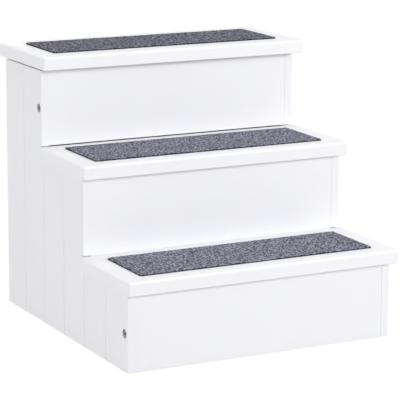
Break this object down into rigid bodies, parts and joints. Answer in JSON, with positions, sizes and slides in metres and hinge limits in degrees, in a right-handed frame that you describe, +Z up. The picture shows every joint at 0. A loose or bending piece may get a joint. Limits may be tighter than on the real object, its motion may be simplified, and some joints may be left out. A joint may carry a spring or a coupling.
{
  "type": "pet stairs",
  "caption": "Stepped pet stairs with carpeted treads, grooved side panels and a hinged top step that opens onto a storage box.",
  "frame": {"origin": "bottom centre of the whole stairs' box, on the floor", "axes": "+Z up, +Y from the lowest step to the back, +X to the right for someone who faces the stairs"},
  "size_m": [0.551, 0.5814, 0.517],
  "materials": {
    "white_paint": "satin white paint on fibreboard",
    "bare_wood": "planed bare pine and beech",
    "carpet": "needle-punched grey carpet with dark and light flecks",
    "bolt_steel": "dull zinc",
    "zinc_steel": "bright zinc",
    "rubber": "soft translucent grey"
  },
  "bodies": {
    "frame": {"back_cleat_left": "bare_wood", "back_cleat_right": "bare_wood", "back_panel": "white_paint", "barrel_nuts": "bolt_steel", "carpet_lower": "carpet", "carpet_middle": "carpet", "cleat_screws": "zinc_steel", "floor_cleat_left": "bare_wood", "floor_cleat_right": "bare_wood", "floor_pads": "rubber", "hinge_frame_screws": "zinc_steel", "hinge_left_frame_leaf": "zinc_steel", "hinge_left_pin": "zinc_steel", "hinge_right_frame_leaf": "zinc_steel", "hinge_right_pin": "zinc_steel", "lid_bumpers": "rubber", "riser_lower": "white_paint", "riser_middle": "white_paint", "riser_upper": "white_paint", "side_bolts_left": "bolt_steel", "side_bolts_right": "bolt_steel", "side_panel_left": "white_paint", "side_panel_right": "white_paint", "storage_floor": "white_paint", "tread_cleat_lower_left": "bare_wood", "tread_cleat_lower_rear": "bare_wood", "tread_cleat_lower_right": "bare_wood", "tread_cleat_middle_left": "bare_wood", "tread_cleat_middle_rear": "bare_wood", "tread_cleat_middle_right": "bare_wood", "tread_lower": "white_paint", "tread_middle": "white_paint", "tread_rail_lower": "white_paint", "tread_rail_middle": "white_paint", "tread_screws": "zinc_steel", "wood_dowels": "bare_wood"},
    "lid": {"storage_lid": "white_paint", "carpet_upper": "carpet", "hinge_left_lid_leaf": "zinc_steel", "hinge_right_lid_leaf": "zinc_steel", "hinge_lid_screws": "zinc_steel"}
  },
  "joints": [
    {"name": "lid_hinge", "type": "hinge", "parent": "frame", "child": "lid", "pos_m": [0, 0.27565, 0.4861], "axis": [-1, 0, 0], "range_deg": [0, 105]}
  ]
}
